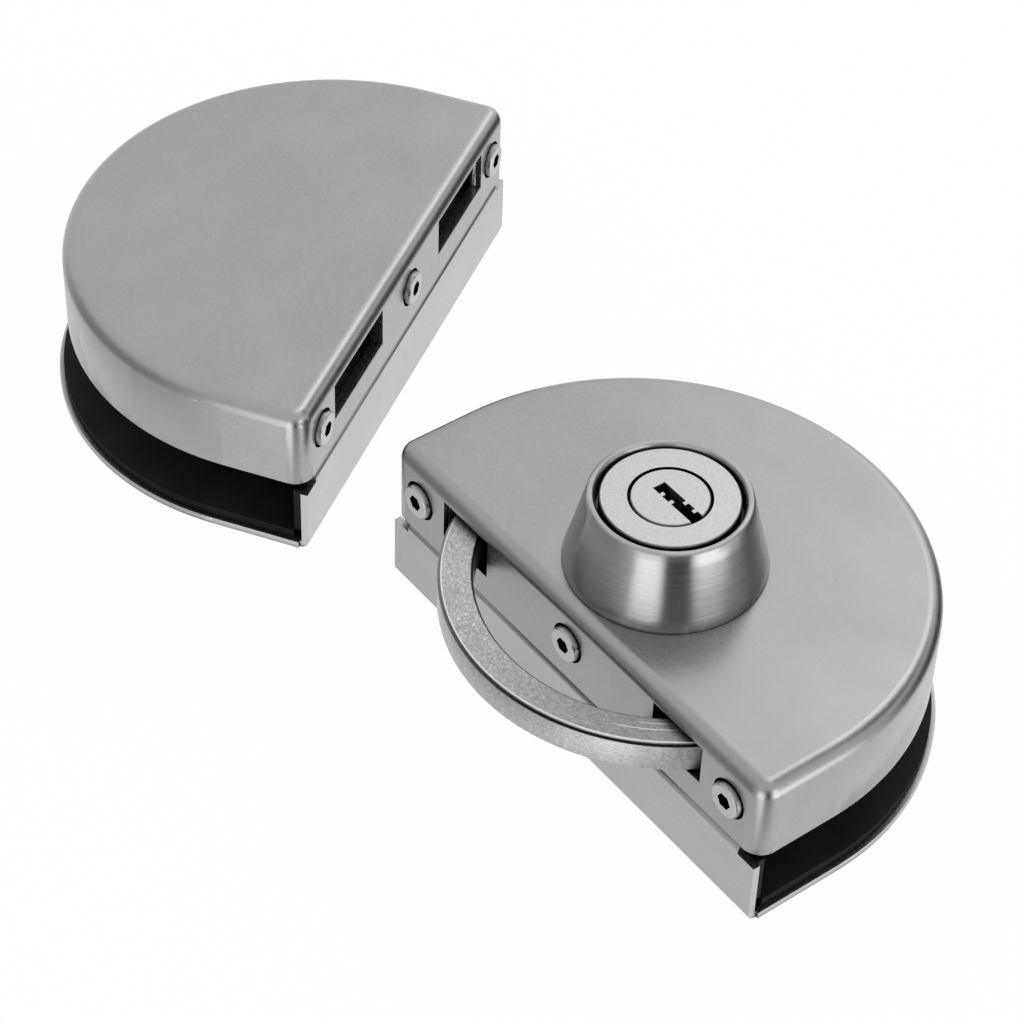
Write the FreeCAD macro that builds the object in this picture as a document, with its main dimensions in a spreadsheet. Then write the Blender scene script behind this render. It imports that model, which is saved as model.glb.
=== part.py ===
import FreeCAD, Part
import Sketcher
import math
import os

# Glass door lock: two half-moon cases that clamp on the edges of two glass
# leaves. The lock case holds the cylinder and the arc bolt, the strike case
# takes the bolt through its two slots.
#
# Frame: Z is up, square to the glass, and zero is the outer face of the lock's
# back plate. The origin is on the cylinder's axis and the lock's flat front
# looks along -Y. The strike stands apart, turned, as one of a loose pair.

SIZES = [
    ("case_width", 111.0, "width of a cover along its flat front"),
    ("case_straight", 18.0, "depth of the straight sides, before the half circle"),
    ("cover_sheet", 1.2, "sheet of the drawn covers"),
    ("cover_bend", 3.0, "outer radius of the bend round a cover's top"),
    ("corner_radius", 4.0, "outer radius of a cover's two upright front corners"),
    ("edge_gap", 0.2, "from the joggle's end up to a cover's lower edge"),
    ("setback", 22.7, "cylinder axis behind the front face"),
    ("plate_sheet", 1.5, "sheet of the bent back plates"),
    ("plate_reach", 3.0, "how far a back plate runs on behind its cover"),
    ("plate_bend", 2.0, "outer radius of the bend between plate and web"),
    ("web_inset", 0.5, "web end inside the case's side"),
    ("lip_drop", 3.4, "from the chassis down to the top of the web's flush part"),
    ("joggle_height", 1.2, "height over which the web steps in behind the cover"),
    ("joggle_round", 1.0, "radius of the joggle's soft bends"),
    ("sheet_gap", 0.05, "gap between sheets that lie on each other"),
    ("notch_inset", 1.0, "web end behind the cover, inside the corner's bend"),
    ("notch_depth", 1.1, "notch at the web's ends, below the joggle"),
    ("bend_clearance", 0.2, "web top below the cover's inner bend"),
    ("pad_thickness", 2.0, "rubber on the glass"),
    ("pad_margin", 1.0, "rubber behind the back plate's edge"),
    ("edge_pad_drop", 0.2, "edge rubber below the joggle's soft bend"),
    ("glass_max", 12.0, "glass that goes in with the clamp drawn back"),
    ("clamp_sheet", 1.6, "sheet of the clamp plates"),
    ("clamp_rest_gap", 0.1, "clamp plate under the chassis when drawn back"),
    ("clamp_side_gap", 0.7, "clamp plate inside the cover"),
    ("clamp_edge_gap", 0.4, "clamp plate behind the edge rubber"),
    ("chassis_sheet", 2.0, "sheet of the inner chassis"),
    ("chassis_gap", 0.3, "chassis inside the cover"),
    ("chassis_corner", 3.0, "radius of the chassis front corners"),
    ("tab_inset", 2.4, "chassis end tab beside the bolt slot"),
    ("middle_tab", 12.0, "width of the chassis middle tab"),
    ("tab_drop", 1.0, "chassis tab top below the web top"),
    ("access_radius", 4.0, "hole in the chassis under the tail screw"),
    ("screw_edge", 3.8, "end cover screw inside the web's end"),
    ("screw_rise", 5.0, "cover screws above the chassis"),
    ("screw_radius", 2.0, "cover screw thread"),
    ("screw_length", 6.0, "cover screw shank"),
    ("screw_head_radius", 3.6, "cover screw head"),
    ("screw_head_height", 2.4, "cover screw head"),
    ("screw_head_edge", 0.3, "chamfer on the cover screw head"),
    ("screw_socket_radius", 1.73, "hexagon socket over its corners"),
    ("screw_socket_depth", 1.5, "hexagon socket"),
    ("head_hole_gap", 0.5, "cover's hole round a cover screw head"),
    ("screw_hole_gap", 0.2, "clearance round a cover screw in the web"),
    ("thread_gap", 0.05, "clearance round a plain cut thread"),
    ("set_radius", 2.5, "clamp set screw thread"),
    ("set_length", 6.0, "clamp set screw"),
    ("set_socket_radius", 1.45, "hexagon socket over its corners"),
    ("set_socket_depth", 2.2, "hexagon socket"),
    ("set_side", 8.0, "front set screws inside the case's side"),
    ("set_front", 12.4, "front set screws behind the front face"),
    ("set_inside", 6.0, "rear set screws inside the arc bolt"),
    ("bolt_margin", 13.0, "outer side of the arc bolt inside the case's side"),
    ("bolt_width", 6.7, "radial width of the arc bolt"),
    ("bolt_height", 7.2, "thickness of the arc bolt"),
    ("bolt_chamfer", 0.5, "chamfer along the arc bolt's edges"),
    ("bolt_rebate", 0.5, "step along the arc bolt's outer top edge"),
    ("bolt_angle", 165.0, "angle from the drive arm to the bolt's free end"),
    ("heel_angle", 10.0, "angle that the bolt runs on past the arm's middle"),
    ("bolt_gap", 0.4, "bolt above its track"),
    ("slot_under", 0.4, "slot below the bolt"),
    ("slot_headroom", 1.3, "slot above the bolt"),
    ("slot_inner_gap", 2.7, "slot beside the bolt's inner edge"),
    ("slot_outer_gap", 0.3, "slot beside the bolt's outer edge"),
    ("strike_slot_in", 9.5, "strike slot longer towards the middle"),
    ("strike_slot_out", 1.7, "strike slot longer towards the end"),
    ("track_sheet", 1.9, "bearing strip under the bolt"),
    ("track_inside", 0.6, "bearing strip inside the bolt's inner radius"),
    ("track_gap", 0.5, "track rim outside the bolt"),
    ("track_wall", 1.4, "track rim"),
    ("track_rim", 4.4, "height of the track rim above the strip"),
    ("track_angle", 224.0, "angle of the track round the back of the case"),
    ("peg_radius", 1.5, "moulded pegs under the track"),
    ("arm_sheet", 3.0, "thickness of the drive arm"),
    ("arm_width", 12.0, "width of the drive arm"),
    ("arm_hub", 10.0, "radius of the drive arm's hub"),
    ("arm_seat", 2.5, "bolt tongue under the drive arm"),
    ("arm_end_gap", 0.2, "drive arm inside the bolt's outer radius"),
    ("arm_screw_radius", 1.5, "screws from the arm into the bolt"),
    ("arm_screw_side", 3.4, "arm screws from the arm's middle"),
    ("arm_screw_length", 5.2, "arm screw shank"),
    ("small_head_radius", 2.75, "heads of the arm and tail screws"),
    ("small_head_height", 1.6, "heads of the arm and tail screws"),
    ("small_socket_radius", 1.2, "hexagon socket over its corners"),
    ("small_socket_depth", 0.9, "hexagon socket"),
    ("tail_side", 6.0, "square tail of the plug"),
    ("tail_gap", 0.05, "clearance round the tail in the arm"),
    ("tail_screw_length", 7.0, "screw that holds the arm on the tail"),
    ("tail_hole_spare", 0.5, "thread hole deeper than the tail screw"),
    ("washer_sheet", 0.8, "washer under the arm"),
    ("washer_radius", 5.0, "washer under the arm"),
    ("stop_radius", 1.5, "stop pins"),
    ("stop_place", 22.0, "stop pins from the middle"),
    ("stop_gap", 0.3, "drive arm to stop pin"),
    ("stop_height", 7.6, "stop pins above the chassis"),
    ("collar_height", 16.4, "collar above the cover"),
    ("collar_flare", 3.9, "collar wider at the cover than at its top"),
    ("collar_rim", 1.1, "width of the collar's rim, with its chamfer"),
    ("mouth_width", 0.6, "width of the slope from the rim down to the throat"),
    ("mouth_depth", 0.8, "slope from the rim down to the throat"),
    ("throat_gap", 0.7, "collar's throat round the cylinder head"),
    ("collar_round", 0.4, "chamfer on the collar's rim"),
    ("head_radius", 13.2, "cylinder head"),
    ("head_height", 4.6, "cylinder head"),
    ("head_edge", 0.3, "chamfer on the cylinder head"),
    ("head_drop", 0.3, "cylinder face below the collar's rim"),
    ("barrel_radius", 12.0, "cylinder barrel, threaded below"),
    ("barrel_gap", 0.15, "clearance round the barrel in the collar"),
    ("barrel_hole_gap", 0.3, "clearance round the barrel in the cover"),
    ("plug_face", 7.75, "radius of the plug's head"),
    ("plug_head", 2.0, "height of the plug's head"),
    ("plug_head_gap", 0.25, "clearance round the plug's head"),
    ("plug_edge", 0.5, "chamfer on the plug's head"),
    ("plug_radius", 7.0, "plug"),
    ("plug_gap", 0.05, "running clearance round the plug"),
    ("keyway_back", 3.7, "closed end of the keyway from the axis"),
    ("keyway_width", 2.8, "keyway"),
    ("keyway_shift", 0.2, "keyway's middle behind the axis"),
    ("keyway_floor", 2.0, "keyway floor above the barrel's end"),
    ("ward_width", 0.8, "warding ribs in the keyway"),
    ("ward_depth", 0.85, "warding ribs in the keyway"),
    ("pin_radius", 0.9, "pins"),
    ("pin_gap", 0.05, "clearance round a pin in its chamber"),
    ("pin_pitch", 2.6, "pin to pin"),
    ("pin_start", 0.6, "lowest pin above the cover"),
    ("driver_length", 1.9, "driver pins"),
    ("shear_gap", 0.1, "pin end to the shear line"),
    ("spring_wall", 0.35, "wall of the spring's outline"),
    ("nut_height", 2.8, "nut under the cover"),
    ("nut_corner", 17.0, "nut over its corners, radius"),
    ("barrel_end", 0.2, "barrel below the nut"),
    ("clip_sheet", 0.8, "clip that keeps the plug in"),
    ("clip_outer", 9.6, "clip radius"),
    ("clip_groove", 6.2, "radius of the clip's groove"),
    ("clip_opening", 7.0, "mouth of the clip"),
    ("clip_gap", 0.1, "clip below the barrel"),
    ("land_gap", 0.05, "plug end above the arm"),
    ("strike_x", -119.0, "place of the strike's own origin"),
    ("strike_y", 1.2, "place of the strike's own origin"),
    ("strike_angle", 122.4, "turn of the strike about Z"),
]

PIN_COUNT = 5
# How far the outline of a cut runs past the piece that it cuts.
CUT_PAST = 1.0
PEG_BEARINGS = (15, 65, 115, 165)
SET_SCREW_BEARING = 48
# Wards along the keyway: distance from the axis, and the side that each is on.
WARDS = [(-1.4, -1), (1.2, -1), (2.9, 1), (5.5, 1)]

os.makedirs("parts", exist_ok=True)
doc = FreeCAD.newDocument("GlassDoorLock")
sheet = doc.addObject("Spreadsheet::Sheet", "Sizes")
for row, (alias, number, note) in enumerate(SIZES, start=1):
    sheet.set("A%d" % row, alias)
    sheet.set("B%d" % row, str(number))
    sheet.set("C%d" % row, note)
    sheet.setAlias("B%d" % row, alias)
doc.recompute()


class Size:
    """A length with its number and the formula that ties it to the sheet."""

    def __init__(self, value, text):
        self.value = float(value)
        self.text = text

    def with_other(self, sign, other, value):
        return Size(value, "(%s %s %s)" % (self.text, sign, other.text))

    def __add__(self, other):
        other = size(other)
        return self.with_other("+", other, self.value + other.value)

    def __sub__(self, other):
        other = size(other)
        return self.with_other("-", other, self.value - other.value)

    def __mul__(self, other):
        other = size(other)
        return self.with_other("*", other, self.value * other.value)

    def __truediv__(self, other):
        other = size(other)
        return self.with_other("/", other, self.value / other.value)

    def __neg__(self):
        return size(0) - self


def size(thing):
    return thing if isinstance(thing, Size) else Size(thing, repr(float(thing)))


def root(length):
    return Size(math.sqrt(length.value), "sqrt(%s)" % length.text)


S = {alias: Size(sheet.get(alias), "Sizes." + alias) for alias, number, note in SIZES}
ZERO = size(0)

# Plan of both cases, the same in the lock and in the strike.
case_half = S["case_width"] / 2
front = -S["setback"]
middle = front + S["case_straight"]
inner_half = case_half - S["cover_sheet"]
web_half = case_half - S["web_inset"]
web_outer = front + S["cover_sheet"] + S["sheet_gap"]
web_inner = web_outer + S["plate_sheet"]
tab_back = web_inner + S["chassis_sheet"]
web_end = case_half - S["corner_radius"] - S["notch_inset"]
screw_x = web_end - S["screw_edge"]
bolt_outer = case_half - S["bolt_margin"]
bolt_inner = bolt_outer - S["bolt_width"]
bolt_centre = bolt_outer - S["bolt_width"] / 2
edge_pad_inner = front + S["plate_sheet"] + S["pad_thickness"]

# Heights, from the back plate up.
back_pad_top = S["plate_sheet"] + S["pad_thickness"]
clamp_pad_low = back_pad_top + S["glass_max"]
clamp_low = clamp_pad_low + S["pad_thickness"]
chassis_low = clamp_low + S["clamp_sheet"] + S["clamp_rest_gap"]
chassis_top = chassis_low + S["chassis_sheet"]
web_lip = chassis_low - S["lip_drop"]
cover_edge = web_lip + S["joggle_height"] + S["edge_gap"]
track_top = chassis_top + S["track_sheet"]
bolt_low = track_top + S["bolt_gap"]
bolt_top = bolt_low + S["bolt_height"]
slot_low = bolt_low - S["slot_under"]
slot_top = bolt_top + S["slot_headroom"]
case_top = slot_top + S["cover_bend"]
case_ceiling = case_top - S["cover_sheet"]
web_top = slot_top - S["bend_clearance"]
screw_z = chassis_top + S["screw_rise"]

# The inner corners of the joggle lie lower, by the offset of a slanted sheet.
joggle_step = web_outer - front
joggle_slope = root(joggle_step * joggle_step + S["joggle_height"] * S["joggle_height"])
joggle_shift = S["plate_sheet"] * (joggle_slope - S["joggle_height"]) / joggle_step

# The bolt crosses the front wall here, so the slots follow its radii.
slot_inner = root(bolt_inner * bolt_inner - front * front) - S["slot_inner_gap"]
slot_outer = root(bolt_outer * bolt_outer - tab_back * tab_back) + S["slot_outer_gap"]
SLOTS = {
    "lock": (slot_inner, slot_outer),
    "strike": (slot_inner - S["strike_slot_in"], slot_outer + S["strike_slot_out"]),
}

# The collar's radii, outwards from the cylinder head.
collar_throat = S["head_radius"] + S["throat_gap"]
collar_mouth = collar_throat + S["mouth_width"]
collar_outside = collar_mouth + S["collar_rim"]
collar_foot = collar_outside + S["collar_flare"]

# Cylinder heights.
collar_top = case_top + S["collar_height"]
face_z = collar_top - S["head_drop"]
ledge_z = face_z - S["head_height"]
nut_low = case_ceiling - S["nut_height"]
barrel_low = nut_low - S["barrel_end"]
clip_top = barrel_low - S["clip_gap"]
clip_low = clip_top - S["clip_sheet"]
arm_low = bolt_low + S["arm_seat"]
arm_top = arm_low + S["arm_sheet"]
plug_end = arm_top + S["land_gap"]


def bind(item, prop, length):
    item.setExpression(prop, size(length).text)


def place(item, x=0, y=0, z=0, axis=(0, 0, 1), angle=0):
    turn = FreeCAD.Rotation(FreeCAD.Vector(*axis), angle)
    item.Placement = FreeCAD.Placement(FreeCAD.Vector(0, 0, 0), turn)
    bind(item, "Placement.Base.x", x)
    bind(item, "Placement.Base.y", y)
    bind(item, "Placement.Base.z", z)
    return item


def put_in_strike(item):
    """Move a finished piece, made in the strike's own frame, to the strike's place."""
    place(item, S["strike_x"], S["strike_y"], 0)
    bind(item, "Placement.Rotation.Angle", S["strike_angle"])
    return item


# Sketches and features of the pieces that are made as bodies.

def new_body(name):
    body = doc.addObject("PartDesign::Body", name)
    body.Label = name
    return body


def new_sketch(body, role, name, offset=0):
    sketch = body.newObject("Sketcher::SketchObject", name)
    planes = [item for item in body.Origin.OriginFeatures if item.Role == role]
    sketch.AttachmentSupport = [(planes[0], "")]
    sketch.MapMode = "FlatFace"
    bind(sketch, "AttachmentOffset.Base.z", offset)
    return sketch


def arc_centre(start, end, radius, left):
    dx, dy = end[0] - start[0], end[1] - start[1]
    half = math.hypot(dx, dy) / 2
    rise = math.sqrt(max(radius * radius - half * half, 0.0))
    side = 1 if left else -1
    x = (start[0] + end[0]) / 2 - side * dy / (2 * half) * rise
    y = (start[1] + end[1]) / 2 + side * dx / (2 * half) * rise
    return x, y


def outline(sketch, corners):
    """Closed outline. A corner is (x, y), or (x, y, radius, turn) where an arc leads on."""
    points = [(corner[0].value, corner[1].value) for corner in corners]
    ends = []
    for index, corner in enumerate(corners):
        start = points[index]
        end = points[(index + 1) % len(points)]
        if len(corner) == 2:
            line = Part.LineSegment(FreeCAD.Vector(*start, 0), FreeCAD.Vector(*end, 0))
            ends.append((sketch.addGeometry(line), 1, 2))
            continue
        left = corner[3] == "left"
        x, y = arc_centre(start, end, corner[2].value, left)
        first, last = (start, end) if left else (end, start)
        circle = Part.Circle(FreeCAD.Vector(x, y, 0), FreeCAD.Vector(0, 0, 1), corner[2].value)
        begin_angle = math.atan2(first[1] - y, first[0] - x)
        end_angle = math.atan2(last[1] - y, last[0] - x)
        edge = sketch.addGeometry(Part.ArcOfCircle(circle, begin_angle, end_angle))
        ends.append((edge, 1, 2) if left else (edge, 2, 1))
    for index, (edge, begin, end) in enumerate(ends):
        following = ends[(index + 1) % len(ends)]
        sketch.addConstraint(Sketcher.Constraint("Coincident", edge, end, following[0], following[1]))
    for corner, (edge, begin, end) in zip(corners, ends):
        fix_point(sketch, edge, begin, corner[0], corner[1])
        if len(corner) > 2:
            add_size(sketch, Sketcher.Constraint("Radius", edge, corner[2].value), corner[2])


def add_size(sketch, constraint, length):
    number = sketch.addConstraint(constraint)
    sketch.setExpression("Constraints[%d]" % number, length.text)


def fix_point(sketch, edge, point, x, y):
    add_size(sketch, Sketcher.Constraint("DistanceX", -1, 1, edge, point, x.value), x)
    add_size(sketch, Sketcher.Constraint("DistanceY", -1, 1, edge, point, y.value), y)


def rectangle(sketch, x_low, y_low, x_high, y_high):
    outline(sketch, [(x_low, y_low), (x_high, y_low), (x_high, y_high), (x_low, y_high)])


def round_hole(sketch, x, y, radius):
    centre = FreeCAD.Vector(x.value, y.value, 0)
    circle = Part.Circle(centre, FreeCAD.Vector(0, 0, 1), radius.value)
    edge = sketch.addGeometry(circle)
    fix_point(sketch, edge, 3, x, y)
    add_size(sketch, Sketcher.Constraint("Radius", edge, radius.value), radius)


def half_moon(sketch, half, low, centre, corner=None):
    """Plan of a case: a straight front, two short sides and a half circle."""
    arch = [(half, centre, half, "left"), (ZERO, centre + half, half, "left"), (-half, centre)]
    if corner is None:
        outline(sketch, [(-half, low), (half, low)] + arch)
    else:
        start = [(-half + corner, low), (half - corner, low, corner, "left"), (half, low + corner)]
        outline(sketch, start[:2] + [start[2]] + arch + [(-half, low + corner, corner, "left")])


def pad(body, sketch, name, length, backwards=False, both_ways=False):
    feature = body.newObject("PartDesign::Pad", name)
    feature.Profile = sketch
    bind(feature, "Length", length)
    feature.Reversed = backwards
    feature.Midplane = both_ways
    doc.recompute()
    return feature


def pocket(body, sketch, name, length=None, backwards=False, both_ways=False):
    before = body.Shape.Volume
    feature = body.newObject("PartDesign::Pocket", name)
    feature.Profile = sketch
    if length is None:
        feature.Type = "ThroughAll"
    else:
        bind(feature, "Length", length)
    feature.Reversed = backwards
    feature.Midplane = both_ways
    doc.recompute()
    if body.Shape.Volume >= before:
        raise RuntimeError("%s of %s cuts nothing" % (name, body.Label))
    return feature


def revolve(body, sketch, name, angle=None, backwards=False):
    feature = body.newObject("PartDesign::Revolution", name)
    feature.Profile = sketch
    feature.ReferenceAxis = (sketch, ["V_Axis"])
    if angle is not None:
        bind(feature, "Angle", angle)
    feature.Reversed = backwards
    doc.recompute()
    return feature


def edge_names(body, wanted):
    return ["Edge%d" % (index + 1) for index, edge in enumerate(body.Shape.Edges) if wanted(edge)]


def at_height(height):
    return lambda edge: all(abs(vertex.Z - height.value) < 1e-4 for vertex in edge.Vertexes)


def fillet(body, base, name, radius, wanted):
    feature = body.newObject("PartDesign::Fillet", name)
    feature.Base = (base, edge_names(body, wanted))
    bind(feature, "Radius", radius)
    doc.recompute()
    return feature


# Primitives for turned and sheared pieces.

def cylinder(name, radius, height, x=0, y=0, z=0):
    item = doc.addObject("Part::Cylinder", name)
    bind(item, "Radius", radius)
    bind(item, "Height", height)
    return place(item, x, y, z)


def prism(name, radius, height, z=0):
    item = doc.addObject("Part::Prism", name)
    item.Polygon = 6
    bind(item, "Circumradius", radius)
    bind(item, "Height", height)
    return place(item, 0, 0, z)


def cut(name, base, tool):
    item = doc.addObject("Part::Cut", name)
    item.Base = base
    item.Tool = tool
    return item


def fuse(name, items):
    item = doc.addObject("Part::MultiFuse", name)
    item.Shapes = items
    return item


def group(name, items):
    item = doc.addObject("Part::Compound", name)
    item.Links = items
    item.Label = name
    return item


# Pieces that both cases have.

def make_cover(half):
    body = new_body(half + "_cover")
    plan = new_sketch(body, "XY_Plane", half + "_cover_plan", cover_edge)
    half_moon(plan, case_half, front, middle, S["corner_radius"])
    block = pad(body, plan, half + "_cover_block", case_top - cover_edge)
    drawn = fillet(body, block, half + "_cover_bend", S["cover_bend"], at_height(case_top))
    inside = new_sketch(body, "XY_Plane", half + "_cover_inside", cover_edge)
    inner_front = front + S["cover_sheet"]
    half_moon(inside, inner_half, inner_front, middle, S["corner_radius"] - S["cover_sheet"])
    hollow = pocket(body, inside, half + "_cover_hollow", case_ceiling - cover_edge, backwards=True)
    fillet(body, hollow, half + "_cover_inner_bend", S["cover_bend"] - S["cover_sheet"],
           at_height(case_ceiling))
    openings = new_sketch(body, "XZ_Plane", half + "_cover_openings")
    near, far = SLOTS[half]
    for side in (-1, 1):
        low_x, high_x = (near, far) if side > 0 else (-far, -near)
        rectangle(openings, low_x, slot_low, high_x, slot_top)
    for side in (-1, 0, 1):
        round_hole(openings, screw_x * side, screw_z, S["screw_head_radius"] + S["head_hole_gap"])
    pocket(body, openings, half + "_cover_slots", backwards=True)
    if half == "lock":
        top = new_sketch(body, "XY_Plane", "lock_cover_top", case_top)
        round_hole(top, ZERO, ZERO, S["barrel_radius"] + S["barrel_hole_gap"])
        pocket(body, top, "lock_cover_cylinder_hole", S["cover_sheet"] + CUT_PAST)
    return body


def make_back_plate(half):
    """One bent sheet: the plate behind the glass and the web up its edge."""
    sheet_t = S["plate_sheet"]
    bend = S["plate_bend"]
    rise = S["joggle_height"]
    shift = joggle_shift
    body = new_body(half + "_back_plate")
    profile = new_sketch(body, "YZ_Plane", half + "_web_profile")
    outline(profile, [
        (front + bend * 2, ZERO),
        (front + bend * 2, sheet_t),
        (front + bend, sheet_t, bend - sheet_t, "right"),
        (front + sheet_t, bend),
        (front + sheet_t, web_lip - shift),
        (web_inner, web_lip + rise - shift),
        (web_inner, web_top),
        (web_outer, web_top),
        (web_outer, web_lip + rise),
        (front, web_lip),
        (front, bend, bend, "left"),
        (front + bend, ZERO),
    ])
    web = pad(body, profile, half + "_web", web_half * 2, both_ways=True)

    def on_joggle(edge):
        along_x = abs(edge.Vertexes[0].X - edge.Vertexes[-1].X) > web_half.value
        height = edge.Vertexes[0].Z
        low, high = (web_lip - shift).value - 1e-3, (web_lip + rise).value + 1e-3
        return along_x and low < height < high

    fillet(body, web, half + "_joggle_bends", S["joggle_round"], on_joggle)
    plan = new_sketch(body, "XY_Plane", half + "_plate_plan")
    half_moon(plan, case_half, front + bend, middle + S["plate_reach"])
    pad(body, plan, half + "_plate", sheet_t)
    cuts = new_sketch(body, "XZ_Plane", half + "_web_cuts")
    near, far = SLOTS[half]
    above = case_top
    for side in (-1, 1):
        low_x, high_x = (near, far) if side > 0 else (-far, -near)
        rectangle(cuts, low_x, slot_low - S["slot_under"], high_x, above)
        low_x, high_x = (web_end, case_half) if side > 0 else (-case_half, -web_end)
        rectangle(cuts, low_x, web_lip - S["notch_depth"], high_x, above)
    for side in (-1, 0, 1):
        round_hole(cuts, screw_x * side, screw_z, S["screw_radius"] + S["screw_hole_gap"])
    pocket(body, cuts, half + "_web_openings", both_ways=True)
    return body


def on_circle(radius, bearing):
    angle = math.radians(bearing)
    return radius * round(math.cos(angle), 6), radius * round(math.sin(angle), 6)


def set_screw_places():
    side_x = case_half - S["set_side"]
    side_y = front + S["set_front"]
    rear_x, rear_y = on_circle(bolt_inner - S["set_inside"], SET_SCREW_BEARING)
    return [(-side_x, side_y), (side_x, side_y), (-rear_x, rear_y), (rear_x, rear_y)]


def peg_places():
    return [on_circle(bolt_centre, bearing) for bearing in PEG_BEARINGS]


def make_chassis(half):
    body = new_body(half + "_chassis")
    plan = new_sketch(body, "XY_Plane", half + "_chassis_plan", chassis_low)
    half_moon(plan, inner_half - S["chassis_gap"], web_inner, middle, S["chassis_corner"])
    pad(body, plan, half + "_chassis_floor", S["chassis_sheet"])
    tabs = new_sketch(body, "XZ_Plane", half + "_chassis_tabs", -web_inner)
    tab_top = web_top - S["tab_drop"]
    near = SLOTS["strike"][1]
    tab_start = near + (S["tab_inset"] - S["strike_slot_out"])
    end = inner_half - S["chassis_gap"] - S["chassis_corner"]
    rectangle(tabs, -end, chassis_low, -tab_start, tab_top)
    rectangle(tabs, -(S["middle_tab"] / 2), chassis_low, S["middle_tab"] / 2, tab_top)
    rectangle(tabs, tab_start, chassis_low, end, tab_top)
    pad(body, tabs, half + "_chassis_uprights", S["chassis_sheet"], backwards=True)
    threads = new_sketch(body, "XZ_Plane", half + "_chassis_threads")
    for side in (-1, 0, 1):
        round_hole(threads, screw_x * side, screw_z, S["screw_radius"] + S["thread_gap"])
    pocket(body, threads, half + "_chassis_thread_holes", both_ways=True)
    holes = new_sketch(body, "XY_Plane", half + "_chassis_holes")
    for x, y in set_screw_places():
        round_hole(holes, x, y, S["set_radius"] + S["thread_gap"])
    if half == "lock":
        round_hole(holes, ZERO, ZERO, S["access_radius"])
        for x, y in peg_places():
            round_hole(holes, x, y, S["peg_radius"] + S["thread_gap"])
        for side in (-1, 1):
            round_hole(holes, S["stop_place"] * side, stop_y, S["stop_radius"])
    pocket(body, holes, half + "_chassis_floor_holes", both_ways=True)
    return body


def make_flat_moon(name, radius, low, centre, z, thickness):
    body = new_body(name)
    plan = new_sketch(body, "XY_Plane", name + "_plan", z)
    half_moon(plan, radius, low, centre)
    pad(body, plan, name + "_sheet", thickness)
    return body


def make_back_pad(half):
    radius = case_half - S["pad_margin"]
    centre = middle + S["plate_reach"]
    return make_flat_moon(half + "_back_pad", radius, edge_pad_inner, centre,
                          S["plate_sheet"], S["pad_thickness"])


def make_edge_pad(half):
    body = new_body(half + "_edge_pad")
    strip = new_sketch(body, "XZ_Plane", half + "_edge_pad_face", -(front + S["plate_sheet"]))
    width = web_half - S["pad_margin"]
    top = web_lip - joggle_shift - S["joggle_round"] / 2 - S["edge_pad_drop"]
    rectangle(strip, -width, back_pad_top, width, top)
    pad(body, strip, half + "_edge_pad_sheet", S["pad_thickness"], backwards=True)
    return body


clamp_front = edge_pad_inner + S["clamp_edge_gap"]
clamp_radius = inner_half - S["clamp_side_gap"]


def make_clamp_plate(half):
    return make_flat_moon(half + "_clamp_plate", clamp_radius, clamp_front, middle,
                          clamp_low, S["clamp_sheet"])


def make_clamp_pad(half):
    return make_flat_moon(half + "_clamp_pad", clamp_radius, clamp_front, middle,
                          clamp_pad_low, S["pad_thickness"])


def make_set_screws(half):
    screws = []
    for index, (x, y) in enumerate(set_screw_places()):
        name = "%s_set_screw_%d" % (half, index + 1)
        thread = cylinder(name + "_thread", S["set_radius"], S["set_length"])
        socket = prism(name + "_socket", S["set_socket_radius"], S["set_length"],
                       S["set_length"] - S["set_socket_depth"])
        screws.append(place(cut(name, thread, socket), x, y, clamp_low + S["clamp_sheet"]))
    return group(half + "_set_screws", screws)


def flat_screw(name):
    """Low flat head with a chamfered edge. It stands on the plane Z = 0, its shank below."""
    head_r, head_t, edge = S["screw_head_radius"], S["screw_head_height"], S["screw_head_edge"]
    head = cylinder(name + "_head", head_r, head_t - edge)
    chamfer = doc.addObject("Part::Cone", name + "_chamfer")
    bind(chamfer, "Radius1", head_r)
    bind(chamfer, "Radius2", head_r - edge)
    bind(chamfer, "Height", edge)
    place(chamfer, 0, 0, head_t - edge)
    shank = cylinder(name + "_shank", S["screw_radius"], S["screw_length"], 0, 0, -S["screw_length"])
    whole = fuse(name + "_whole", [head, chamfer, shank])
    socket = prism(name + "_socket", S["screw_socket_radius"], head_t, head_t - S["screw_socket_depth"])
    return cut(name, whole, socket)


def make_cover_screws(half):
    """The heads bear on the web and stand in the cover's holes, so the cover can't lift off."""
    screws = []
    for side in (-1, 0, 1):
        screw = flat_screw("%s_cover_screw_%d" % (half, side + 2))
        screws.append(place(screw, screw_x * side, web_outer, screw_z, (1, 0, 0), 90))
    return group(half + "_cover_screws", screws)


def cap_screw(name, length):
    """Small screw along Z, its head above the plane Z = 0."""
    head = cylinder(name + "_head", S["small_head_radius"], S["small_head_height"])
    shank = cylinder(name + "_shank", S["arm_screw_radius"], length, 0, 0, -length)
    whole = fuse(name + "_whole", [head, shank])
    socket = prism(name + "_socket", S["small_socket_radius"], S["small_head_height"],
                   S["small_head_height"] - S["small_socket_depth"])
    return cut(name, whole, socket)


# The cylinder.

def pin_heights():
    return [case_top + S["pin_start"] + S["pin_radius"] + S["pin_pitch"] * index
            for index in range(PIN_COUNT)]


def make_collar():
    body = new_body("cylinder_collar")
    section = new_sketch(body, "XZ_Plane", "collar_section")
    bore = S["barrel_radius"] + S["barrel_gap"]
    soft = S["collar_round"]
    outline(section, [
        (bore, case_top),
        (collar_foot, case_top),
        (collar_outside, collar_top - soft),
        (collar_outside - soft, collar_top),
        (collar_mouth, collar_top),
        (collar_throat, collar_top - S["mouth_depth"]),
        (collar_throat, ledge_z),
        (bore, ledge_z),
    ])
    revolve(body, section, "collar_turned")
    return body


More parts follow.
